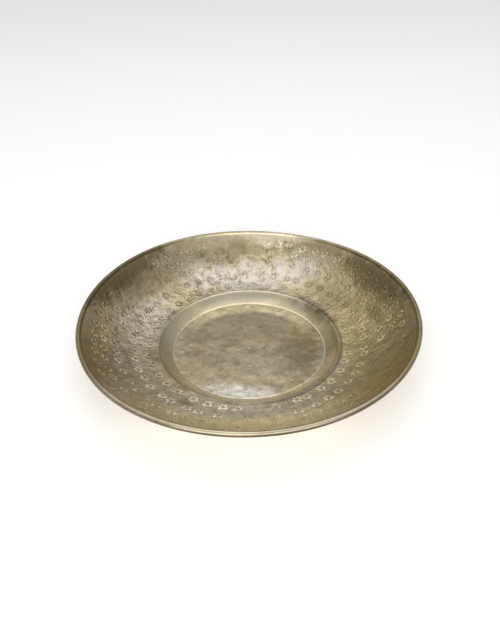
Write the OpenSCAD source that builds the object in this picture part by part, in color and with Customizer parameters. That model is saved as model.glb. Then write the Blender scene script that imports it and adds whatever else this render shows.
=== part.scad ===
// Round hammered brass tray with a wired rim.
// One raised sheet: flat floor, polished cove, crisp shoulder, bowl-shaped wall and a
// plain lip, whose edge is rolled outwards and down around a wire.
// Millimetres, +Z up. The origin is the centre of the flat underside.

/* [Tray] */
// Outer diameter over the rim
tray_d = 355; // [320:5:400]
// Thickness of the brass sheet
sheet_t = 1.0; // [0.8:0.1:1.4]

/* [Floor and cove] */
// Diameter of the flat floor
floor_d = 166; // [150:1:180]
// Width of the cove, from the floor's edge out to the shoulder
cove_w = 14; // [12:0.5:16]
// Rise of the cove from the floor to the shoulder
cove_h = 9.4; // [8.6:0.2:11]
// Slope of the cove where it leaves the floor, in degrees
cove_foot_slope = 26; // [20:1:26]

/* [Wall] */
// Slope of the wall at the shoulder, in degrees
wall_foot_slope = 5; // [2:1:10]
// Slope of the wall at the lip, in degrees
lip_slope = 44; // [38:1:50]
// Width of the straight plain lip, measured up its slope
lip_w = 14; // [8:1:20]

/* [Rim] */
// Diameter of the rim wire
wire_d = 3.2; // [2.6:0.2:4]
// How far the rolled edge stands proud of the lip, inside the tray
bead_proud = 0.7; // [0.4:0.1:0.9]
// Gap between the two ends of the wire at its butt joint
wire_joint = 0.6; // [0.4:0.1:2]

/* [Hidden] */

brass_colour = [0.64, 0.57, 0.42];
wire_colour = [0.72, 0.58, 0.33];

// Straight pieces that stand for each arc of the section
arc_steps = 14;
turn_fn = 180;

// The roll: a tube of sheet around the wire, with its cut edge tucked under the lip
wire_play = 0.05;
tuck_gap = 0.3;
roll_in_r = wire_d / 2 + wire_play;
roll_out_r = roll_in_r + sheet_t;
roll_x = tray_d / 2 - roll_out_r;

// The lip in the roll's own axes: along its slope, and square to it from the wire's centre
lip_top_off = roll_out_r - bead_proud;
lip_under_off = lip_top_off - sheet_t;
reach_top = sqrt(roll_out_r ^ 2 - lip_top_off ^ 2);
reach_under = sqrt(roll_in_r ^ 2 - lip_under_off ^ 2);
lip_end_along = -(reach_top + reach_under) / 2;

// Unit vectors up a slope, and square to it on the side of the tray's inside
function along(slope) = [cos(slope), sin(slope)];
function square_to(slope) = [-sin(slope), cos(slope)];

// Cove: one arc from the floor's edge to the shoulder
cove_foot = [floor_d / 2, sheet_t];
shoulder = cove_foot + [cove_w, cove_h];
cove_chord = norm(shoulder - cove_foot);
cove_chord_slope = atan2(shoulder[1] - cove_foot[1], shoulder[0] - cove_foot[0]);
cove_top_slope = 2 * cove_chord_slope - cove_foot_slope;
cove_r = cove_chord / (2 * sin((cove_top_slope - cove_foot_slope) / 2));
cove_centre = cove_foot + cove_r * square_to(cove_foot_slope);

// Wall: one arc from the shoulder to the lip, then the lip runs straight into the roll
lip_end_x = roll_x + lip_end_along * cos(lip_slope) - lip_top_off * sin(lip_slope);
lip_foot_x = lip_end_x - lip_w * cos(lip_slope);
wall_r = (lip_foot_x - shoulder[0]) / (sin(lip_slope) - sin(wall_foot_slope));
wall_centre = shoulder + wall_r * square_to(wall_foot_slope);
lip_foot = wall_centre - wall_r * square_to(lip_slope);
lip_end = lip_foot + lip_w * along(lip_slope);
roll_centre = lip_end - lip_end_along * along(lip_slope) - lip_top_off * square_to(lip_slope);

// The sheet's inside corner under the shoulder, where the two undersides meet
shoulder_bisector = (cove_top_slope + wall_foot_slope) / 2;
shoulder_under = shoulder
    - sheet_t / cos((cove_top_slope - wall_foot_slope) / 2) * square_to(shoulder_bisector);

// Points of a dished arc between two slopes, from step number first to step number last
function dished_arc(centre, radius, slope_a, slope_b, first, last) = [
    for (i = [first:last])
        centre - radius * square_to(slope_a + (slope_b - slope_a) * i / arc_steps)
];

function reversed(points) = [for (i = [len(points) - 1:-1:0]) points[i]];

sheet_top = concat(
    [[0, sheet_t]],
    dished_arc(cove_centre, cove_r, cove_foot_slope, cove_top_slope, 0, arc_steps),
    dished_arc(wall_centre, wall_r, wall_foot_slope, lip_slope, 1, arc_steps),
    [lip_end]
);

sheet_under = concat(
    [[0, 0], [cove_foot[0], 0]],
    dished_arc(cove_centre, cove_r + sheet_t, cove_foot_slope, cove_top_slope, 0, arc_steps - 1),
    [shoulder_under],
    dished_arc(wall_centre, wall_r + sheet_t, wall_foot_slope, lip_slope, 1, arc_steps),
    [lip_end - sheet_t * square_to(lip_slope)]
);

// Section of the sheet from the centre of the floor to the roll
module sheet_section() {
    polygon(concat(sheet_under, reversed(sheet_top)));
}

// Section of the rolled edge, open only in the slit where its cut edge is tucked in
module roll_section() {
    translate(roll_centre) difference() {
        circle(r = roll_out_r, $fn = 64);
        circle(r = roll_in_r, $fn = 64);
        rotate(lip_slope)
            translate([-2 * roll_out_r, lip_under_off - tuck_gap])
                square([2 * roll_out_r - roll_in_r / 2, tuck_gap]);
    }
}

// The whole tray is one raised sheet, so its floor, wall and rolled edge are one solid
module dish_body() {
    color(brass_colour)
        rotate_extrude($fn = turn_fn) {
            sheet_section();
            roll_section();
        }
}

// Ring of wire closed inside the rolled edge, with its butt joint at +X
module rim_wire() {
    joint_angle = wire_joint / roll_centre[0] * 180 / PI;
    color(wire_colour)
        rotate([0, 0, joint_angle / 2])
            rotate_extrude(angle = 360 - joint_angle, $fn = turn_fn)
                translate(roll_centre)
                    circle(r = wire_d / 2, $fn = 48);
}

dish_body();
rim_wire();
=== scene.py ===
"""Round hammered brass tray with a wired rim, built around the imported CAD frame."""

import math

import bpy
import numpy as np
from mathutils import Matrix, Vector


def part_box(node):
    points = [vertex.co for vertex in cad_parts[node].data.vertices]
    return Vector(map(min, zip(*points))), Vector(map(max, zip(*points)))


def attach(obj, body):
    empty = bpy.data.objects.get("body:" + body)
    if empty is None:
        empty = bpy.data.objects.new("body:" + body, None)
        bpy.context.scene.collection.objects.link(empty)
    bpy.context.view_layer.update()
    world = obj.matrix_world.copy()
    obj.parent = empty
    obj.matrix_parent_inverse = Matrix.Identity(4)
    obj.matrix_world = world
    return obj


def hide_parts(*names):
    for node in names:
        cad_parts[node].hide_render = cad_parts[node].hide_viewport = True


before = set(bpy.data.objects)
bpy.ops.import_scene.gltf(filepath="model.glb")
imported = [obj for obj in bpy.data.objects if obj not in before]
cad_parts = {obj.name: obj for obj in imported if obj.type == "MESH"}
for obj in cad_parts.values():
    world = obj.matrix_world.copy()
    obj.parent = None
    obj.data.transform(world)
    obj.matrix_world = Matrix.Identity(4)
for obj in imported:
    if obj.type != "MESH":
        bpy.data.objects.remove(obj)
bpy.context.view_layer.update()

# ---------------------------------------------------------------- sizes, in metres
MM = 0.001
sheet_low, sheet_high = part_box("dish_body")
wire_low, wire_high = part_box("rim_wire")

RIM_R = sheet_high.x                             # outside of the rolled edge
RIM_TOP = sheet_high.z
WIRE_R = (wire_high.z - wire_low.z) / 2
ROLL_Z = (wire_high.z + wire_low.z) / 2          # centre of the wire
ROLL_OUT_R = RIM_TOP - ROLL_Z
ROLL_R = RIM_R - ROLL_OUT_R                      # radius of the ring that the wire makes
SHEET_T = 1.0 * MM
ROLL_IN_R = ROLL_OUT_R - SHEET_T
FLOOR_R = 83 * MM
COVE_W = 14 * MM
COVE_H = 9.4 * MM
COVE_FOOT_SLOPE = math.radians(26)
WALL_FOOT_SLOPE = math.radians(5)
LIP_SLOPE = math.radians(44)
LIP_W = 14 * MM
BEAD_PROUD = 0.7 * MM
TUCK_GAP = 0.3 * MM
SHOULDER_R = FLOOR_R + COVE_W
FOOT_ROUND, SHOULDER_ROUND = 0.9 * MM, 0.7 * MM  # half lengths of the two rounded corners
COVE_BULGE = 1.003                               # length of the cove's arc over its chord
WIRE_JOINT = 0.6 * MM

# The lip's two faces in the roll's own axes: how far each is from the wire's centre
LIP_TOP_OFF = ROLL_OUT_R - BEAD_PROUD
LIP_UNDER_OFF = LIP_TOP_OFF - SHEET_T

# Waves round the rim, where it has bent from a true round: (number, height, turn in degrees)
RIM_RISE = [(1, 1.1 * MM, 62), (2, 1.1 * MM, -77), (3, 1.0 * MM, 52)]
RIM_SPREAD = [(1, 0.7 * MM, 55), (2, 0.6 * MM, 41)]

# One side of the floor's edge has been beaten up off the table
FLOOR_LIFT, FLOOR_LIFT_TURN = 0.6 * MM, 95
FLOOR_LIFT_AT = (0, 64, 83, 98, 130)             # radii where it starts, is full and ends

# ---------------------------------------------------------------- mesh density
FINE_COLS = 2400                                 # columns round the punched wall
ROW_PUNCHED = 0.42 * MM
ROW_PLAIN = 1.0 * MM
ROW_FLOOR = 1.2 * MM
ROW_UNDER = 1.6 * MM
BEAD_STEPS = 26
SEED = 41


# ---------------------------------------------------------------- section of the sheet
def slope_of_top():
    """Corner points (length along the section, slope) of the sheet's inside, from the centre."""
    chord_slope = math.atan2(COVE_H, COVE_W)
    cove_top_slope = 2 * chord_slope - COVE_FOOT_SLOPE
    cove_len = math.hypot(COVE_W, COVE_H) * COVE_BULGE
    lip_foot_r = lip_end()[0] - LIP_W * math.cos(LIP_SLOPE)
    wall_r = (lip_foot_r - SHOULDER_R) / (math.sin(LIP_SLOPE) - math.sin(WALL_FOOT_SLOPE))
    wall_len = wall_r * (LIP_SLOPE - WALL_FOOT_SLOPE)
    foot = FLOOR_R
    shoulder = foot + cove_len
    lip_foot = shoulder + wall_len
    return [(0, 0), (foot - FOOT_ROUND, 0), (foot + FOOT_ROUND, COVE_FOOT_SLOPE),
            (shoulder - SHOULDER_ROUND, cove_top_slope), (shoulder + SHOULDER_ROUND, WALL_FOOT_SLOPE),
            (lip_foot, LIP_SLOPE), (lip_foot + LIP_W, LIP_SLOPE)]


def lip_end():
    """Radius and height where the inside of the lip ends, within the thickness of the roll."""
    along = -(math.sqrt(ROLL_OUT_R ** 2 - LIP_TOP_OFF ** 2)
              + math.sqrt(ROLL_IN_R ** 2 - LIP_UNDER_OFF ** 2)) / 2
    return (ROLL_R + along * math.cos(LIP_SLOPE) - LIP_TOP_OFF * math.sin(LIP_SLOPE),
            ROLL_Z + along * math.sin(LIP_SLOPE) + LIP_TOP_OFF * math.cos(LIP_SLOPE))


class Section:
    """The inside of the sheet: radius, height and slope at any length along it."""

    def __init__(self):
        corners = np.array(slope_of_top())
        self.length = corners[-1, 0]
        self.foot_at = (corners[1, 0] + corners[2, 0]) / 2
        self.shoulder_at = (corners[3, 0] + corners[4, 0]) / 2
        self.lip_at = corners[5, 0]
        self.s = np.linspace(0, self.length, 8001)
        self.slope = np.interp(self.s, corners[:, 0], corners[:, 1])
        step = self.s[1]
        self.r = self._sum(np.cos(self.slope) * step)
        self.z = SHEET_T + self._sum(np.sin(self.slope) * step)
        self._meet_roll()

    @staticmethod
    def _sum(parts):
        middles = (parts[1:] + parts[:-1]) / 2
        return np.concatenate([[0], np.cumsum(middles)])

    def _meet_roll(self):
        """Shares out what the rounded corners add, so that the lip meets the CAD's roll."""
        end_r, end_z = lip_end()
        past_foot = np.clip((self.s - self.foot_at) / (self.length - self.foot_at), 0, 1)
        self.r += past_foot * (end_r - self.r[-1])
        self.z += past_foot * (end_z - self.z[-1])

    def at(self, s):
        """Radius, height and slope at the lengths s."""
        return tuple(np.interp(s, self.s, v) for v in (self.r, self.z, self.slope))

    def length_at_radius(self, radius):
        return float(np.interp(radius, self.r, self.s))


SECTION = Section()


# ---------------------------------------------------------------- marks in the metal
# Rings of punched marks, from the rim inwards: (radius, number of marks)
MARK_RINGS = [(162.2 * MM, 62), (153.0 * MM, 57), (140.9 * MM, 54), (124.6 * MM, 50), (108.2 * MM, 40)]
MARK_R = 5.8 * MM
PETALS = 7
PETAL_NEAR, PETAL_FAR = 1.1 * MM, 5.4 * MM
PETAL_SHARE = 0.56                               # of the width between two petals' middles
PETAL_TIP = 0.22                                 # of a petal's length that fades at each end
PETAL_DEPTH = 0.76 * MM
BURR, BURR_W = 0.16, 0.55 * MM                   # raised edge round a mark, as a share of its depth
BOSS = 0.20                                      # raised middle of a mark, likewise
DIRTIEST_TURN = 172                              # side where the marks hold most tarnish
# Where polishing and handling have worn the punched marks: (angle, radius, half angle, half width)
WORN = [(95, 145, 26, 34), (148, 150, 15, 24), (-84, 150, 22, 24), (-28, 150, 20, 26),
        (-86, 125, 13, 42)]


def worn_at(angle, radius):
    """How much of a mark's depth has been worn away, 0 to 0.95."""
    keep = 1.0
    for centre, ring, half_angle, half_width in WORN:
        turn = (math.degrees(angle) - centre + 180) % 360 - 180
        away = math.hypot(turn / half_angle, (radius / MM - ring) / half_width)
        keep *= 1 - 0.95 * math.exp(-away ** 4)
    return 1 - keep


def punched_marks(rng):
    """Each mark: (length along the section, angle, turn of the punch, depth, dirt, tilt)."""
    marks = []
    for radius, count in MARK_RINGS:
        phase = rng.uniform(0, 2 * math.pi)
        for i in range(count):
            angle = phase + (i + rng.normal(0, 0.11)) * 2 * math.pi / count
            place = SECTION.length_at_radius(radius + rng.normal(0, 0.75) * MM)
            depth = PETAL_DEPTH * rng.uniform(0.75, 1.0) * (1 - worn_at(angle, radius))
            dirt = rng.uniform(0.1, 1.0) ** 1.3
            dirt *= 0.85 + 0.55 * math.cos(angle - math.radians(DIRTIEST_TURN))
            marks.append((place, angle, rng.uniform(0, 2 * math.pi), depth, dirt,
                          rng.normal(0, 0.35, 2)))
    return marks


def petal_star(across, up, turn, tilt):
    """Depth, 0 to 1, of a star of petal-shaped dents at offsets from the punch's centre."""
    distance = np.hypot(across, up)
    bearing = np.arctan2(up, across) + turn
    sector = 2 * math.pi / PETALS
    off_axis = (bearing + sector / 2) % sector - sector / 2
    along = (distance - PETAL_NEAR) / (PETAL_FAR - PETAL_NEAR)
    half_w = PETAL_SHARE * distance * math.sin(sector / 2) * np.clip(1.35 - 0.55 * along, 0.3, 1.4)
    profile = np.clip(1 - np.abs(distance * np.sin(off_axis) / half_w) ** 1.3, 0, 1)
    ends = np.clip(along / PETAL_TIP, 0, 1) * np.clip((1 - along) / PETAL_TIP, 0, 1)
    lean = 1 + (tilt[0] * across + tilt[1] * up) / MARK_R
    return profile * ends * np.clip(lean, 0.3, 1.0)


# The hammer's dents in each zone: (distance apart, radius, depth)
FLOOR_DENTS = (12 * MM, 5.5 * MM, 0.09 * MM)
FLOOR_EDGE_DENTS = (12 * MM, 5.2 * MM, 0.15 * MM)
FLOOR_HOLLOWS = (22 * MM, 15 * MM, 0.24 * MM)
WALL_DENTS = (6.0 * MM, 4.4 * MM, 0.15 * MM)
WALL_HOLLOWS = (15 * MM, 10 * MM, 0.16 * MM)
UNDER_WALL_DENTS = (9 * MM, 6.5 * MM, 0.10 * MM)
UNDER_FLOOR_DENTS = (12 * MM, 8 * MM, 0.06 * MM)


def hammer_marks(rng, s_from, s_to, pitch, size, depth):
    """Round planishing dents scattered over a zone: (length along, angle, radius, depth)."""
    marks = []
    s = s_from
    while s < s_to:
        radius = float(SECTION.at(s)[0])
        count = max(1, int(2 * math.pi * radius / pitch))
        phase = rng.uniform(0, 2 * math.pi)
        for i in range(count):
            angle = phase + (i + rng.uniform(-0.4, 0.4)) * 2 * math.pi / count
            marks.append((s + rng.uniform(-0.4, 0.4) * pitch, angle,
                          size * rng.uniform(0.7, 1.35), depth * rng.uniform(0.25, 1.3)))
        s += pitch * 0.87
    return marks


class Rings:
    """Rings of points along the inside of the sheet, with the depth of every mark on them."""

    def __init__(self, stations):
        self.s = np.array([s for s, _ in stations])
        self.cols = [c for _, c in stations]
        self.r, self.z, self.slope = SECTION.at(self.s)
        self.sink = [np.zeros(c) for c in self.cols]
        self.punch = [np.zeros(c) for c in self.cols]

    def window(self, place, angle, reach):
        """For each ring within reach of a mark: its number, the columns there, and the offsets."""
        first, last = np.searchsorted(self.s, (place - reach, place + reach))
        mark_r = float(SECTION.at(place)[0])
        for k in range(first, last):
            cols, r = self.cols[k], self.r[k]
            turn = 2 * math.pi / cols
            if r * mark_r < (2 * reach) ** 2:
                column = np.arange(cols)
            else:
                half = int(reach / math.sqrt(r * mark_r) / turn) + 1
                column = np.arange(round(angle / turn) - half, round(angle / turn) + half + 1)
            swing = (column * turn - angle + math.pi) % (2 * math.pi) - math.pi
            across = 2 * math.sqrt(r * mark_r) * np.sin(swing / 2)
            yield k, column % cols, across, self.s[k] - place

    def hammer(self, marks):
        for place, angle, radius, depth in marks:
            for k, column, across, up in self.window(place, angle, radius):
                away = (across ** 2 + up ** 2) / radius ** 2
                self.sink[k][column] += depth * np.clip(1 - away, 0, 1) ** 1.5

    def punch_stars(self, marks):
        for place, angle, turn, depth, dirt, tilt in marks:
            for k, column, across, up in self.window(place, angle, MARK_R):
                shape = petal_star(across, up, turn, tilt)
                distance = np.hypot(across, up)
                burr = BURR * np.exp(-((distance - PETAL_FAR) / BURR_W) ** 2)
                boss = BOSS * np.clip(1 - (distance / PETAL_NEAR) ** 2, 0, 1)
                self.sink[k][column] += depth * (shape - burr - boss)
                self.punch[k][column] = np.maximum(self.punch[k][column],
                                                   shape * dirt * depth / PETAL_DEPTH)


# ---------------------------------------------------------------- the body's mesh
def spaced(start, end, step):
    """Lengths from start up to, but not including, end, about one step apart."""
    count = max(1, round((end - start) / step))
    return [start + (end - start) * i / count for i in range(count)]


def top_stations():
    """(length along the section, columns) of every ring on the inside of the sheet."""
    coarse, medium = FINE_COLS // 4, FINE_COLS // 2
    foot, shoulder, lip = SECTION.foot_at, SECTION.shoulder_at, SECTION.lip_at
    fine_foot, fine_shoulder = 2.4 * MM, 4.0 * MM
    rows = [(s, coarse // 2) for s in spaced(ROW_FLOOR, foot * 0.5, ROW_FLOOR)]
    rows += [(s, coarse) for s in spaced(foot * 0.5, foot - fine_foot, ROW_FLOOR)]
    rows += [(s, medium) for s in spaced(foot - fine_foot, foot + fine_foot, 0.3 * MM)]
    rows += [(s, medium) for s in spaced(foot + fine_foot, shoulder - fine_foot, ROW_PLAIN)]
    rows += [(s, medium) for s in spaced(shoulder - fine_foot, shoulder + fine_shoulder, 0.3 * MM)]
    s = shoulder + fine_shoulder
    places = [SECTION.length_at_radius(radius) for radius, _ in MARK_RINGS]
    while s < lip + 5 * MM:
        near_mark = any(abs(s - p) < MARK_R + 1.2 * MM for p in places)
        rows.append((s, FINE_COLS))
        s += ROW_PUNCHED if near_mark else ROW_PLAIN * 0.9
    rows += [(t, medium) for t in spaced(s, SECTION.length - 0.2 * MM, ROW_PLAIN)]
    return rows


# Lines worked round the tray: (half width, depth)
SHOULDER_LINE = (1.3 * MM, 0.16 * MM)
FOOT_LINE = (0.75 * MM, 0.20 * MM)
NEAR_RIDGE = (1.5 * MM, 0.34 * MM)
NEAR_RIDGE_R, NEAR_RIDGE_SWAY = 151 * MM, 1.6 * MM
NEAR_RIDGE_TURN, NEAR_RIDGE_HALF_TURN = math.radians(283), math.radians(44)


def chased_lines(s, theta):
    """How far the surface is sunk by the lines round the tray, at length s, all round."""
    def line(centre, half_w, depth):
        return depth * np.exp(-((s - centre) / half_w) ** 2)
    waver = 1 + 0.35 * np.sin(3 * theta + 0.4) + 0.25 * np.sin(7 * theta + 2)
    sunk = line(SECTION.shoulder_at + 2.4 * MM, *SHOULDER_LINE) * waver
    sunk *= 0.6 + 0.4 * np.sin(theta)
    foot_share = np.clip(0.45 + 0.55 * np.cos(theta - 0.35), 0.1, 1)
    sunk += line(SECTION.foot_at - 0.9 * MM, *FOOT_LINE) * foot_share
    ridge_at = SECTION.length_at_radius(NEAR_RIDGE_R)
    ridge_at = ridge_at + NEAR_RIDGE_SWAY * np.sin(9 * theta) * np.sin(2.3 * theta)
    along = (theta - NEAR_RIDGE_TURN) / NEAR_RIDGE_HALF_TURN
    return sunk - line(ridge_at, *NEAR_RIDGE) * np.clip(1 - np.abs(along) ** 3, 0, 1)


def out_of_true(r, theta):
    """How far the handled tray has bent from a true round: (outwards, upwards)."""
    reach = np.clip((r - SHOULDER_R) / (RIM_R - SHOULDER_R), 0, 1) ** 1.5
    up = sum(size * np.cos(waves * theta - math.radians(turn)) for waves, size, turn in RIM_RISE)
    out = sum(size * np.cos(waves * theta - math.radians(turn)) for waves, size, turn in RIM_SPREAD)
    lift = np.interp(r, np.array(FLOOR_LIFT_AT) * MM, (0, 0, 1, 1, 0))
    away = np.cos(theta - math.radians(FLOOR_LIFT_TURN))
    return reach * out, reach * up + FLOOR_LIFT * lift * np.clip(away, 0, 1) ** 0.7


class SheetMesh:
    """Collects rings of points and the faces between them, then makes one closed mesh."""

    def __init__(self):
        self.points, self.punch, self.reach = [], [], []
        self.faces = []
        self.last = None
        self.count = 0

    def add_ring(self, r, z, punch, reach):
        """One ring: r, z and punch are arrays with a value for each column."""
        cols = len(r)
        theta = np.arange(cols) * 2 * math.pi / cols
        out, up = out_of_true(r, theta)
        r, z = r + out, z + up
        self.points.append(np.stack([r * np.cos(theta), r * np.sin(theta), z], 1))
        self.punch.append(punch)
        self.reach.append(np.full(cols, float(reach)))
        first = self.count
        self.count += cols
        if self.last is not None:
            self._stitch(self.last, (first, cols))
        self.last = (first, cols)

    def _stitch(self, inner, outer):
        """Faces between two rings whose column counts are equal or differ by a factor of two."""
        (a, n), (b, m) = inner, outer
        i = np.arange(min(n, m))
        if n == m:
            j = (i + 1) % n
            self.faces += np.stack([a + i, b + i, b + j, a + j], 1).tolist()
        elif m == 2 * n:
            j = (i + 1) % n
            mid, end = b + 2 * i + 1, b + (2 * i + 2) % m
            self.faces += np.stack([a + i, b + 2 * i, mid], 1).tolist()
            self.faces += np.stack([a + i, mid, a + j], 1).tolist()
            self.faces += np.stack([a + j, mid, end], 1).tolist()
        elif n == 2 * m:
            j = (i + 1) % m
            mid, end = a + 2 * i + 1, a + (2 * i + 2) % n
            self.faces += np.stack([a + 2 * i, b + i, mid], 1).tolist()
            self.faces += np.stack([mid, b + i, b + j], 1).tolist()
            self.faces += np.stack([mid, b + j, end], 1).tolist()
        else:
            raise ValueError(f"rings of {n} and {m} columns can't be joined")

    def add_pole(self, z, reach, opening):
        """The point at the centre; opening is True on the inside, where the rings start."""
        self.points.append(np.array([[0.0, 0.0, z]]))
        self.punch.append(np.zeros(1))
        self.reach.append(np.full(1, float(reach)))
        pole = self.count
        self.count += 1
        if opening:
            self.pole = pole
        else:
            first, cols = self.last
            self.faces += [[first + i, pole, first + (i + 1) % cols] for i in range(cols)]

    def close_opening(self, first, cols):
        self.faces += [[self.pole, first + i, first + (i + 1) % cols] for i in range(cols)]

    def build(self, name):
        mesh = bpy.data.meshes.new(name)
        mesh.from_pydata(np.concatenate(self.points).tolist(), [], self.faces)
        for label, values in (("punch", self.punch), ("reach", self.reach)):
            layer = mesh.attributes.new(label, "FLOAT", "POINT")
            layer.data.foreach_set("value", np.concatenate(values).astype(np.float32))
        mesh.shade_smooth()
        mesh.validate()
        piece = bpy.data.objects.new(name, mesh)
        bpy.context.scene.collection.objects.link(piece)
        return piece


# The attribute "reach" is the radius on the inside of the sheet, runs on round the outside of
# the roll, and on the underside is this much more than the radius
UNDER_REACH = 300 * MM


# Marks overlap freely down to the first depth, and never pass the second; the underside's own
# dents stop at the third
FREE_DEPTH, DEEPEST = 0.50 * MM, 0.72 * MM
UNDER_DEEPEST = 0.12 * MM
SHOWN_THROUGH = -0.5                             # how far a mark pushes out the underside, by its depth


def dented_rings(rng):
    rings = Rings(top_stations())
    foot, shoulder, lip = SECTION.foot_at, SECTION.shoulder_at, SECTION.lip_at
    rings.hammer(hammer_marks(rng, 6 * MM, foot - 8 * MM, *FLOOR_DENTS))
    rings.hammer(hammer_marks(rng, foot - 16 * MM, foot - 5 * MM, *FLOOR_EDGE_DENTS))
    rings.hammer(hammer_marks(rng, 12 * MM, foot - 13 * MM, *FLOOR_HOLLOWS))
    rings.hammer(hammer_marks(rng, shoulder + 7 * MM, lip + 6 * MM, *WALL_DENTS))
    rings.hammer(hammer_marks(rng, shoulder + 10 * MM, lip, *WALL_HOLLOWS))
    marks = punched_marks(rng)
    rings.punch_stars(marks)
    return rings, marks


def kept_whole(sunk):
    """Eases off the depth of marks that overlap, so that none of them goes through the sheet."""
    past = np.clip(sunk - FREE_DEPTH, 0, None)
    spare = DEEPEST - FREE_DEPTH
    return np.minimum(sunk, FREE_DEPTH) + spare * np.tanh(past / spare)


def add_inside(body, rings):
    """The inside of the sheet, from the centre of the floor to the roll."""
    body.add_pole(SHEET_T, 0, opening=True)
    for k, cols in enumerate(rings.cols):
        theta = np.arange(cols) * 2 * math.pi / cols
        sunk = kept_whole(rings.sink[k] + chased_lines(rings.s[k], theta))
        r = rings.r[k] + sunk * math.sin(rings.slope[k])
        z = rings.z[k] - sunk * math.cos(rings.slope[k])
        body.add_ring(r, z, rings.punch[k], rings.r[k])
        if k == 0:
            body.close_opening(1, cols)


def add_roll(body):
    """The edge rolled outwards and down over the wire, its cut edge, and the inside of the roll."""
    cols = FINE_COLS // 2
    start = LIP_SLOPE + math.pi - math.asin(LIP_TOP_OFF / ROLL_OUT_R)
    cut = LIP_UNDER_OFF - TUCK_GAP
    stop = LIP_SLOPE - math.pi - math.asin(cut / ROLL_OUT_R)
    inner_stop = LIP_SLOPE - math.pi - math.asin(cut / ROLL_IN_R)
    inner_start = LIP_SLOPE + math.pi - math.asin(LIP_UNDER_OFF / ROLL_IN_R)

    def ring(angle, radius, cols, reach):
        flat = np.full(cols, 1.0)
        body.add_ring(flat * (ROLL_R + radius * math.cos(angle)),
                      flat * (ROLL_Z + radius * math.sin(angle)), flat * 0, reach)

    for i in range(BEAD_STEPS + 1):
        turned = (start - stop) * i / BEAD_STEPS
        ring(start - turned, ROLL_OUT_R, cols, SECTION.r[-1] + turned * ROLL_OUT_R)
    steps = BEAD_STEPS // 2
    for i in range(steps + 1):
        ring(inner_stop + (inner_start - inner_stop) * i / steps, ROLL_IN_R, cols // 2,
             UNDER_REACH + ROLL_R)


def add_underside(body, rng, marks):
    """The outside of the sheet, from the roll back to the centre of the base."""
    places = spaced(ROW_UNDER, SECTION.length - 1.0 * MM, ROW_UNDER)
    dents = Rings([(s, FINE_COLS // 4) for s in places])
    foot, shoulder, lip = SECTION.foot_at, SECTION.shoulder_at, SECTION.lip_at
    dents.hammer(hammer_marks(rng, shoulder + 7 * MM, lip + 6 * MM, *UNDER_WALL_DENTS))
    dents.hammer(hammer_marks(rng, 6 * MM, foot - 8 * MM, *UNDER_FLOOR_DENTS))
    dents.hammer([(place, angle, MARK_R, SHOWN_THROUGH * depth)
                  for place, angle, _, depth, *_ in marks])
    for k in reversed(range(len(places))):
        thick = SHEET_T - np.minimum(dents.sink[k], UNDER_DEEPEST)
        r = dents.r[k] + thick * math.sin(dents.slope[k])
        z = dents.z[k] - thick * math.cos(dents.slope[k])
        body.add_ring(r, z, dents.punch[k], UNDER_REACH + dents.r[k])
    body.add_pole(0.0, UNDER_REACH, opening=False)


def hammered_sheet():
    """The whole tray: one closed sheet with its hammer dents, punched marks and rolled edge."""
    rng = np.random.default_rng(SEED)
    body = SheetMesh()
    rings, marks = dented_rings(rng)
    add_inside(body, rings)
    add_roll(body)
    add_underside(body, rng, marks)
    piece = body.build("hammered_dish")
    piece.data.materials.append(aged_brass())
    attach(piece, "root")
    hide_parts("dish_body")


# ---------------------------------------------------------------- the rim wire
def rim_wire():
    """The wire ring inside the roll, following its rise and fall, open at its butt joint."""
    around, sides = 720, 16
    joint = WIRE_JOINT / ROLL_R
    turns = np.linspace(joint / 2, 2 * math.pi - joint / 2, around + 1)
    points, faces = [], []
    for theta in turns:
        out, up = out_of_true(ROLL_R, theta)
        for k in range(sides):
            angle = 2 * math.pi * k / sides
            r = ROLL_R + out + WIRE_R * math.cos(angle)
            points.append((r * math.cos(theta), r * math.sin(theta),
                           ROLL_Z + up + WIRE_R * math.sin(angle)))
    for i in range(around):
        for k in range(sides):
            a, b = i * sides + k, i * sides + (k + 1) % sides
            faces.append((a, a + sides, b + sides, b))
    faces.append(tuple(range(sides)))
    faces.append(tuple(around * sides + k for k in range(sides))[::-1])
    mesh = bpy.data.meshes.new("rim_wire_ring")
    mesh.from_pydata(points, [], faces)
    mesh.shade_smooth()
    piece = bpy.data.objects.new("rim_wire_ring", mesh)
    bpy.context.scene.collection.objects.link(piece)
    piece.data.materials.append(drawn_brass())
    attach(piece, "root")
    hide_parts("rim_wire")


# ---------------------------------------------------------------- materials
class Nodes:
    """Short names for building a node tree."""

    def __init__(self, material):
        material.use_nodes = True
        self.tree = material.node_tree
        self.tree.nodes.clear()

    def new(self, kind, inputs=None, **settings):
        node = self.tree.nodes.new(kind)
        for name, value in settings.items():
            setattr(node, name, value)
        for name, value in (inputs or {}).items():
            socket = node.inputs[name]
            if isinstance(value, bpy.types.NodeSocket):
                self.tree.links.new(value, socket)
            else:
                socket.default_value = value
        return node

    def noise(self, vector, scale, detail=4.0, rough=0.55, distortion=0.0):
        return self.new("ShaderNodeTexNoise", {"Vector": vector, "Scale": scale, "Detail": detail,
                        "Roughness": rough, "Distortion": distortion}).outputs["Fac"]

    def span(self, value, low, high, to_low=0.0, to_high=1.0):
        return self.new("ShaderNodeMapRange", {"Value": value, "From Min": low, "From Max": high,
                        "To Min": to_low, "To Max": to_high}).outputs["Result"]

    def math(self, kind, a, b=0.0, clamp=False):
        return self.new("ShaderNodeMath", {0: a, 1: b}, operation=kind, use_clamp=clamp).outputs[0]

    def mix(self, factor, a, b):
        node = self.new("ShaderNodeMix", data_type="RGBA")
        for socket, value in ((node.inputs[0], factor), (node.inputs[6], a), (node.inputs[7], b)):
            if isinstance(value, bpy.types.NodeSocket):
                self.tree.links.new(value, socket)
            else:
                socket.default_value = value
        return node.outputs[2]


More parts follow.
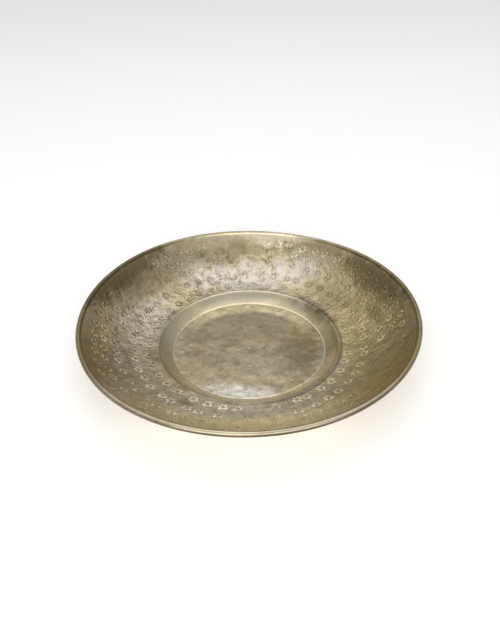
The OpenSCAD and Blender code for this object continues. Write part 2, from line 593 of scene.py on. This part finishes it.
ARC_FADE = 18                                    # degrees over which a curved strip fades out


class Around:
    """Positions on the tray for the material: distance from the axis and turn round it."""

    def __init__(self, n):
        self.n = n
        self.place = n.new("ShaderNodeTexCoord").outputs["Object"]
        flat = n.new("ShaderNodeVectorMath", {0: self.place, 1: (1, 1, 0)}, operation="MULTIPLY")
        self.radius = n.new("ShaderNodeVectorMath", {0: flat.outputs[0]},
                            operation="LENGTH").outputs["Value"]
        self.turn = n.new("ShaderNodeVectorMath", {0: flat.outputs[0]},
                          operation="NORMALIZE").outputs[0]
        self.reach = n.new("ShaderNodeAttribute", attribute_name="reach").outputs["Fac"]

    def polar(self, around, out):
        """A vector that runs round the tray and outwards at its own scale in each."""
        n = self.n
        ring = n.new("ShaderNodeVectorMath", {0: self.turn, "Scale": around}, operation="SCALE")
        rise = n.new("ShaderNodeCombineXYZ", {"Z": n.math("MULTIPLY", self.radius, out)})
        return n.new("ShaderNodeVectorMath", {0: ring.outputs[0], 1: rise.outputs[0]},
                     operation="ADD").outputs[0]

    def band(self, inner, outer, soft):
        """1 between two reaches, fading over a soft edge at both, in millimetres."""
        n = self.n
        rise = n.span(self.reach, (inner - soft) * MM, (inner + soft) * MM)
        fall = n.span(self.reach, (outer - soft) * MM, (outer + soft) * MM, 1.0, 0.0)
        return n.math("MULTIPLY", rise, fall)

    def arc(self, inner, outer, turn, half_turn, soft=0.6):
        """A curved strip between two reaches, fading out at both its ends."""
        n, angle = self.n, math.radians(turn)
        towards = (math.cos(angle), math.sin(angle), 0)
        along = n.new("ShaderNodeVectorMath", {0: self.place, 1: towards},
                      operation="DOT_PRODUCT").outputs["Value"]
        cosine = n.math("DIVIDE", along, self.radius)
        ends = [math.cos(math.radians(min(half_turn + part, 180))) for part in (ARC_FADE, -ARC_FADE)]
        return n.math("MULTIPLY", self.band(inner, outer, soft), n.span(cosine, ends[0], ends[1]))

    def patch(self, turn, radius, half_turn, half_width, ragged, noise):
        """A soft blob at a turn and radius (degrees and millimetres), its edge broken by noise."""
        n, angle = self.n, math.radians(turn)
        size = (half_width * MM, radius * MM * math.radians(half_turn), 1)
        local = n.new("ShaderNodeMapping", {"Vector": self.place, "Rotation": (0, 0, angle),
                      "Location": (radius * MM * math.cos(angle), radius * MM * math.sin(angle), 0),
                      "Scale": size}, vector_type="TEXTURE").outputs[0]
        flat = n.new("ShaderNodeVectorMath", {0: local, 1: (1, 1, 0)}, operation="MULTIPLY")
        away = n.new("ShaderNodeVectorMath", {0: flat.outputs[0]}, operation="LENGTH")
        shift = n.math("MULTIPLY", n.math("SUBTRACT", noise, 0.5), ragged)
        return n.span(n.math("ADD", away.outputs["Value"], shift), 0.45, 1.15, 1.0, 0.0)


# Zones of the sheet in millimetres of reach: (inner, outer, soft edge)
FLOOR_BAND = (-9, 82, 1.5)
COVE_BAND = (83.5, 97.5, 0.6)
WALL_BAND = (98, 171, 1.5)
BEAD_BAND = (172.2, 290, 0.4)
# The roll's outer side, where painted shade goes.
BEAD_SIDE_BAND = (178.8, 215, 0.9)
# Colours of the metal, and of its painted sheen, reflection and shade
BRASS_PALE, BRASS_WARM = (0.62, 0.54, 0.385, 1), (0.60, 0.50, 0.325, 1)
BRASS_OLIVE, BRASS_GREY = (0.58, 0.53, 0.36, 1), (0.66, 0.615, 0.54, 1)
BRASS_GOLD = (0.82, 0.70, 0.47, 1)
TARNISH, TARNISH_DARK_AND_SHADE = (0.21, 0.168, 0.088, 1), (0.05, 0.043, 0.028, 1)
RIM_UNDERSIDE_SHADE, BRASS_BROWN = (0.13, 0.10, 0.062, 1), (0.66, 0.53, 0.285, 1)
WIRE_YELLOW, WIRE_BROWN = (0.62, 0.47, 0.24, 1), (0.38, 0.28, 0.15, 1)
BRASS_SHADE_PAINT, BRASS_SHEEN_PAINT = (0.46, 0.435, 0.33, 1), (0.97, 0.875, 0.665, 1)
BRASS_SILVERY, BRASS_REFLECTION_PAINT = (0.95, 0.905, 0.80, 1), (0.98, 0.86, 0.56, 1)
# Areas of wear and tarnish, and of painted sheen: (turn, radius, half turn, half width, strength)
MOTTLED = [(110, 125, 105, 46, 1.0), (-5, 135, 60, 42, 0.7), (175, 128, 42, 40, 0.9)]
WORN_GREY = [(168, 116, 32, 24, 0.6), (92, 120, 50, 24, 1.0)]
# Gold areas; the large patch on the near wall is painted sheen that brightens it.
GOLD_WEAR_AND_SHEEN = [(100, 77, 60, 7, 1.0), (-80, 135, 95, 40, 0.75)]
# Painted sheen: pale colour on the near wall and on a strip of the far lip, standing in for reflected
# light.
PAINTED_SHEEN_AREAS = [(-95, 132, 90, 46, 1.0), (80, 168, 26, 9, 0.65)]
SILVERY = [(-97, 72, 30, 12, 1.0)]
BROWNISH = [(-5, 140, 80, 62, 0.9), (188, 162, 48, 24, 0.75), (20, 66, 42, 18, 0.6)]
TARNISHED = [(150, 167, 46, 17, 1.0), (26, 163, 30, 19, 0.9), (12, 142, 9, 8, 0.65),
             (36, 126, 25, 22, 0.62), (112, 156, 6, 7, 0.6), (93, 160, 7, 11, 0.35),
             (34, 97, 24, 12, 0.6), (-122, 117, 4, 5, 0.6), (-166, 104, 8, 7, 0.6),
             (40, 150, 20, 18, 0.3), (140, 150, 34, 22, 0.6), (5, 112, 30, 18, 0.2),
             (54, 168, 14, 8, 0.5), (90, 174.5, 85, 3, 0.4), (0, 95, 40, 4, 0.3),
             (105, 150, 12, 14, 0.4)]
FLOOR_STAINS = [(-14, 60, 42, 28, 0.66), (8, 52, 14, 8, 0.35), (60, 40, 70, 18, 0.12),
                (170, 60, 30, 16, 0.25), (160, 26, 60, 18, 0.14)]
SPOTTED = [(152, 101, 30, 4, 0.8), (36, 98, 22, 5, 0.8), (-175, 106, 10, 7, 0.8),
           (104, 152, 14, 13, 0.5), (165, 125, 22, 22, 0.35), (110, 122, 30, 16, 0.3)]
# Curved strips of painted reflection, highlight and shade: (inner and outer reach, turn, half turn,
# strength)
# Painted shade: the far cove dimmed in colour where its reflection would look too bright.
PAINTED_SHADE_COVE_STRIPS = [(84, 95, 88, 46, 0.62)]
# Painted reflection: a bright band on the far side of the floor's edge.
PAINTED_REFLECTION_STRIPS = [(68, 82.4, 88, 50, 1.0)]
# Painted highlights: a pale strip on the near cove and one along the top of the roll at the near side.
PAINTED_HIGHLIGHT_STRIPS = [(83.6, 95, -80, 58, 0.95), (176.2, 178.4, -92, 40, 0.8)]
# Painted shade: dark strips in the crease outside the shoulder at the right and near side, over the
# shoulder's edge on the left, and over the roll on the left.
PAINTED_SHADE_STRIPS = [(98.2, 101.4, -22, 70, 0.6), (96.2, 98.4, 200, 42, 0.45),
               (174, 178, 188, 52, 0.28)]
# Painted highlights: bright lines on the far shoulder edge and on the floor's edge at the near right.
PAINTED_EDGE_HIGHLIGHTS = [(96.4, 97.6, 90, 38, 0.7), (82.2, 83.6, -26, 40, 0.7)]


def combined(n, tray, areas, ragged, noise):
    """The strongest of several areas at each point."""
    total = 0.0
    for turn, radius, half_turn, half_width, strength in areas:
        area = tray.patch(turn, radius, half_turn, half_width, ragged, noise)
        total = n.math("MAXIMUM", total, n.math("MULTIPLY", area, strength))
    return total


def strips(n, tray, arcs, soft=0.6):
    """The strongest of several curved strips at each point."""
    total = 0.0
    for inner, outer, turn, half_turn, strength in arcs:
        strip = tray.arc(inner, outer, turn, half_turn, soft)
        total = n.math("MAXIMUM", total, n.math("MULTIPLY", strip, strength))
    return total


class BrassNoise:
    """The noises that the sheet's colour, roughness and bump share."""

    def __init__(self, n, tray):
        self.clouds = n.noise(tray.place, 16, 5, 0.6)
        self.blotches = n.noise(tray.place, 55, 5, 0.7, 0.3)
        self.mottle = n.noise(tray.place, 140, 4, 0.6, 0.5)
        self.flakes = n.noise(tray.place, 88, 6, 0.75, 0.7)
        self.grain = n.noise(tray.place, 1100, 3, 0.6)
        streaks = n.noise(tray.polar(40, 84), 1.0, 3.5, 0.6, 1.1)
        self.streaked = n.math("ADD", n.math("MULTIPLY", streaks, 0.25),
                               n.math("MULTIPLY", self.flakes, 0.75))


def mottled_wall(n, tray, noise):
    """Where the wall is mottled: everywhere a little, and more in some areas."""
    wall = tray.band(*WALL_BAND)
    most = n.math("MULTIPLY", combined(n, tray, MOTTLED, 1.0, noise.blotches), wall)
    return n.math("MAXIMUM", most, n.math("MULTIPLY", wall, 0.35))


def stained_areas(n, tray, noise):
    """Where tarnish covers the metal."""
    return n.math("MAXIMUM", combined(n, tray, TARNISHED, 4.2, noise.streaked),
                  combined(n, tray, FLOOR_STAINS, 1.6, noise.blotches))


def bare_metal(n, tray, noise):
    """The metal's colour: pale, warm and olive, silvery or grey where it is worn, gold where it is worn
    and as painted sheen on the near wall, with painted sheen, highlights and reflection where it should
    shine, and painted shade over the far cove.
    """
    colour = n.mix(n.span(noise.clouds, 0.38, 0.62), BRASS_WARM, BRASS_PALE)
    colour = n.mix(n.span(noise.blotches, 0.5, 0.7, 0, 0.5), colour, BRASS_OLIVE)
    colour = n.mix(n.math("MULTIPLY", tray.band(*COVE_BAND), 0.85), colour, BRASS_OLIVE)
    # Among these areas, the gold patch on the near wall and the pale sheen areas are painted light
    # standing in for reflections.
    for areas, metal in ((GOLD_WEAR_AND_SHEEN, BRASS_GOLD), (PAINTED_SHEEN_AREAS, BRASS_SHEEN_PAINT),
                         (BROWNISH, BRASS_BROWN), (SILVERY, BRASS_SILVERY)):
        colour = n.mix(combined(n, tray, areas, 1.6, noise.blotches), colour, metal)
    # Painted reflection on the far floor edge.
    colour = n.mix(strips(n, tray, PAINTED_REFLECTION_STRIPS, 3.0), colour, BRASS_REFLECTION_PAINT)
    # Painted highlights on the near cove and the near side of the roll.
    colour = n.mix(strips(n, tray, PAINTED_HIGHLIGHT_STRIPS), colour, BRASS_SHEEN_PAINT)
    # Painted shade over the far cove.
    colour = n.mix(strips(n, tray, PAINTED_SHADE_COVE_STRIPS, 1.5), colour, BRASS_SHADE_PAINT)
    grey = combined(n, tray, WORN_GREY, 2.0, noise.blotches)
    grey = n.math("MULTIPLY", grey, n.span(noise.mottle, 0.3, 0.5, 0.3, 1.0))
    return n.mix(grey, colour, BRASS_GREY)


def with_tarnish(n, tray, noise, colour, stained, mottled):
    """The metal under its stains, the floor's specks, the wall's mottling and the dark spots."""
    colour = n.mix(stained, colour, TARNISH)
    specks = n.math("MULTIPLY", tray.band(*FLOOR_BAND), n.span(noise.flakes, 0.49, 0.6, 0.0, 0.36))
    colour = n.mix(specks, colour, TARNISH)
    density = n.span(noise.blotches, 0.35, 0.65, 0.35, 1.0)
    dark = n.math("MULTIPLY", n.span(noise.streaked, 0.475, 0.565),
                  n.math("MULTIPLY", mottled, density))
    colour = n.mix(n.math("MULTIPLY", dark, 0.95), colour, TARNISH)
    spots = n.math("MULTIPLY", combined(n, tray, SPOTTED, 1.0, noise.blotches),
                   n.span(noise.mottle, 0.5, 0.6))
    return n.mix(n.math("MULTIPLY", spots, 0.8), colour, TARNISH_DARK_AND_SHADE)


def with_shaded_lines(n, tray, noise, colour):
    """Painted shade in the line outside the shoulder, and where the lip meets the rolled edge."""
    # Painted shade along the crease outside the shoulder.
    crease = n.math("MULTIPLY", tray.band(98.6, 101.0, 1.3),
                    n.span(noise.blotches, 0.38, 0.62, 0.1, 0.5))
    crease = n.math("MULTIPLY", n.math("MAXIMUM", crease, strips(n, tray, PAINTED_SHADE_STRIPS)), 0.8)
    # Painted shade where the lip meets the rolled edge.
    bead_line = n.math("MULTIPLY", tray.band(171.4, 172.8, 0.7),
                       n.span(noise.clouds, 0.4, 0.6, 0.0, 0.25))
    return n.mix(n.math("ADD", crease, bead_line, True), colour, TARNISH_DARK_AND_SHADE)


def with_rim(n, tray, noise, colour):
    """Tarnish on the rolled edge, painted shade down its outer side, and painted highlight lines on the
    shoulder's and the floor's edges.
    """
    bead = n.math("MULTIPLY", tray.band(*BEAD_BAND), n.span(noise.clouds, 0.35, 0.6, 0.2, 0.5))
    # Painted shade down the roll's outer and lower side.
    side = n.math("MULTIPLY", tray.band(*BEAD_SIDE_BAND), n.span(noise.clouds, 0.3, 0.6, 0.75, 1.0))
    colour = n.mix(bead, colour, TARNISH)
    # Painted highlight lines on the shoulder's and the floor's edges.
    colour = n.mix(strips(n, tray, PAINTED_EDGE_HIGHLIGHTS), colour, BRASS_SILVERY)
    return n.mix(side, colour, RIM_UNDERSIDE_SHADE)


def brass_roughness(n, tray, noise, stained):
    """Smoother on the floor, rougher under the stains."""
    rough = n.span(noise.mottle, 0.3, 0.7, 0.20, 0.34)
    rough = n.math("SUBTRACT", rough, n.math("MULTIPLY", tray.band(-9, 82, 4.0), 0.07))
    return n.math("ADD", rough, n.math("MULTIPLY", stained, 0.10))


def brass_bump(n, tray, noise, mottled):
    """The feel of the surface: pitted where it is mottled, finely flaked on the floor."""
    pits = n.math("ADD", n.math("MULTIPLY", noise.mottle, 0.35),
                  n.math("MULTIPLY", noise.streaked, 0.75))
    flakes = n.math("MULTIPLY", noise.flakes, n.math("MULTIPLY", tray.band(*FLOOR_BAND), 0.4))
    height = n.math("ADD", n.math("MULTIPLY", pits, mottled), flakes)
    height = n.math("ADD", height, n.math("MULTIPLY", noise.grain, 0.003))
    bump = n.new("ShaderNodeBump", {"Height": height, "Strength": 0.75, "Distance": 0.0008})
    return bump.outputs["Normal"]


def aged_brass():
    """Pale, handled brass: grey-gold metal, brown tarnish in patches and in the punched marks, and
    painted sheen, highlights, reflections and shade.
    """
    material = bpy.data.materials.new("aged_brass")
    n = Nodes(material)
    tray = Around(n)
    noise = BrassNoise(n, tray)
    mottled, stained = mottled_wall(n, tray, noise), stained_areas(n, tray, noise)
    colour = with_tarnish(n, tray, noise, bare_metal(n, tray, noise), stained, mottled)
    colour = with_rim(n, tray, noise, with_shaded_lines(n, tray, noise, colour))
    punch = n.new("ShaderNodeAttribute", attribute_name="punch").outputs["Fac"]
    colour = n.mix(n.math("MULTIPLY", punch, 0.85, True), colour, TARNISH_DARK_AND_SHADE)
    shader = n.new("ShaderNodeBsdfPrincipled", {"Base Color": colour, "Metallic": 1.0,
                   "Roughness": brass_roughness(n, tray, noise, stained),
                   "Normal": brass_bump(n, tray, noise, mottled)})
    n.new("ShaderNodeOutputMaterial", {"Surface": shader.outputs["BSDF"]})
    return material


def drawn_brass():
    """Dull drawn wire: fine lines along it and a little brown."""
    material = bpy.data.materials.new("drawn_brass")
    n = Nodes(material)
    place = n.new("ShaderNodeTexCoord").outputs["Object"]
    lines = n.noise(place, 700, 3, 0.5)
    stain = n.noise(place, 60, 4, 0.6)
    colour = n.mix(n.span(stain, 0.4, 0.65), WIRE_YELLOW, WIRE_BROWN)
    bump = n.new("ShaderNodeBump", {"Height": lines, "Strength": 0.4, "Distance": 0.0002})
    shader = n.new("ShaderNodeBsdfPrincipled", {"Base Color": colour, "Metallic": 1.0,
                   "Roughness": n.span(lines, 0.3, 0.7, 0.35, 0.5),
                   "Normal": bump.outputs["Normal"]})
    n.new("ShaderNodeOutputMaterial", {"Surface": shader.outputs["BSDF"]})
    return material


def studio_floor_material():
    """A pale light table: nearly white, matt and glowing a little."""
    material = bpy.data.materials.new("studio_floor")
    n = Nodes(material)
    place = n.new("ShaderNodeTexCoord").outputs["Object"]
    shade = n.mix(n.noise(place, 6, 3), (0.93, 0.93, 0.93, 1), (0.95, 0.95, 0.95, 1))
    shader = n.new("ShaderNodeBsdfPrincipled", {"Base Color": shade, "Roughness": 0.7,
                   "Emission Color": (1, 1, 1, 1), "Emission Strength": 0.22})
    n.new("ShaderNodeOutputMaterial", {"Surface": shader.outputs["BSDF"]})
    return material


# ---------------------------------------------------------------- stage, light and camera
FLOOR_HALF = 6.0
FLOOR_BELOW = 0.2 * MM                           # so that the tray's underside doesn't flicker on it


def studio_floor():
    half = FLOOR_HALF
    mesh = bpy.data.meshes.new("studio_floor")
    mesh.from_pydata([(-half, -half, 0), (half, -half, 0), (half, half, 0), (-half, half, 0)],
                     [], [(0, 1, 2, 3)])
    mesh.materials.append(studio_floor_material())
    floor = bpy.data.objects.new("studio_floor", mesh)
    floor.location.z = -FLOOR_BELOW
    bpy.context.scene.collection.objects.link(floor)


# How bright the room is at each height, from level (0) to straight up (1)
SKY_LOW, SKY_HIGH = (0.12, 0.118, 0.112, 1), (0.62, 0.615, 0.60, 1)
SKY_STOPS = [(0.17, 0.18), (0.5, 0.34), (0.56, 0.40), (0.62, 0.37), (0.70, 0.56), (0.85, 0.56)]


def studio_world():
    """A dim room whose light comes from overhead: dark low down, bright towards the top."""
    world = bpy.data.worlds.new("studio")
    bpy.context.scene.world = world
    n = Nodes(world)
    up = n.new("ShaderNodeSeparateXYZ", {0: n.new("ShaderNodeTexCoord").outputs["Generated"]})
    ramp = n.new("ShaderNodeValToRGB", {"Fac": up.outputs["Z"]})
    stops = ramp.color_ramp.elements
    stops[0].position, stops[0].color = 0.0, SKY_LOW
    stops[1].position, stops[1].color = 1.0, SKY_HIGH
    for position, level in SKY_STOPS:
        stop = stops.new(position)
        stop.color = (level, level * 0.99, level * 0.97, 1)
    back = n.new("ShaderNodeBackground", {"Color": ramp.outputs["Color"], "Strength": 1.2})
    n.new("ShaderNodeOutputWorld", {"Surface": back.outputs["Background"]})


def softbox(name, place, size, power):
    """A rectangular light aimed at the middle of the tray."""
    light = bpy.data.lights.new(name, "AREA")
    light.shape, light.size, light.size_y = "RECTANGLE", size[0], size[1]
    light.energy = power
    lamp = bpy.data.objects.new(name, light)
    lamp.location = place
    lamp.rotation_euler = (-Vector(place)).to_track_quat("-Z", "Y").to_euler()
    bpy.context.scene.collection.objects.link(lamp)


CAMERA_AWAY = 3.5 * RIM_R
CAMERA_ELEVATION, CAMERA_ROLL = math.radians(35.3), math.radians(1.05)
CAMERA_LENS, CAMERA_SENSOR = 33.95, 36.0         # in millimetres, as Blender takes them


def camera():
    """Looks down at the tray from the front, aimed near the middle of its rim."""
    distance, elevation, roll = CAMERA_AWAY, CAMERA_ELEVATION, CAMERA_ROLL
    target = Vector((1.8 * MM, 0, ROLL_Z - 2.4 * MM))
    right = Vector((1, 0, 0))
    up = Vector((0, math.sin(elevation), math.cos(elevation)))
    back = right.cross(up)
    rolled_right = right * math.cos(roll) - up * math.sin(roll)
    rolled_up = up * math.cos(roll) + right * math.sin(roll)
    data = bpy.data.cameras.new("camera")
    data.lens, data.sensor_width = CAMERA_LENS, CAMERA_SENSOR
    data.clip_start, data.clip_end = 0.01, 50.0
    eye = bpy.data.objects.new("camera", data)
    eye.matrix_world = (Matrix.Translation(target + back * distance)
                        @ Matrix((rolled_right, rolled_up, back)).transposed().to_4x4())
    bpy.context.scene.collection.objects.link(eye)
    bpy.context.scene.camera = eye


camera()
studio_world()
softbox("overhead", (0.0, 0.50, 1.50), (1.3, 1.35), 3.4)
softbox("front_fill", (0.0, -2.6, 1.25), (5.0, 2.2), 78)
studio_floor()
hammered_sheet()
rim_wire()
bpy.context.scene.view_settings.view_transform = "Standard"
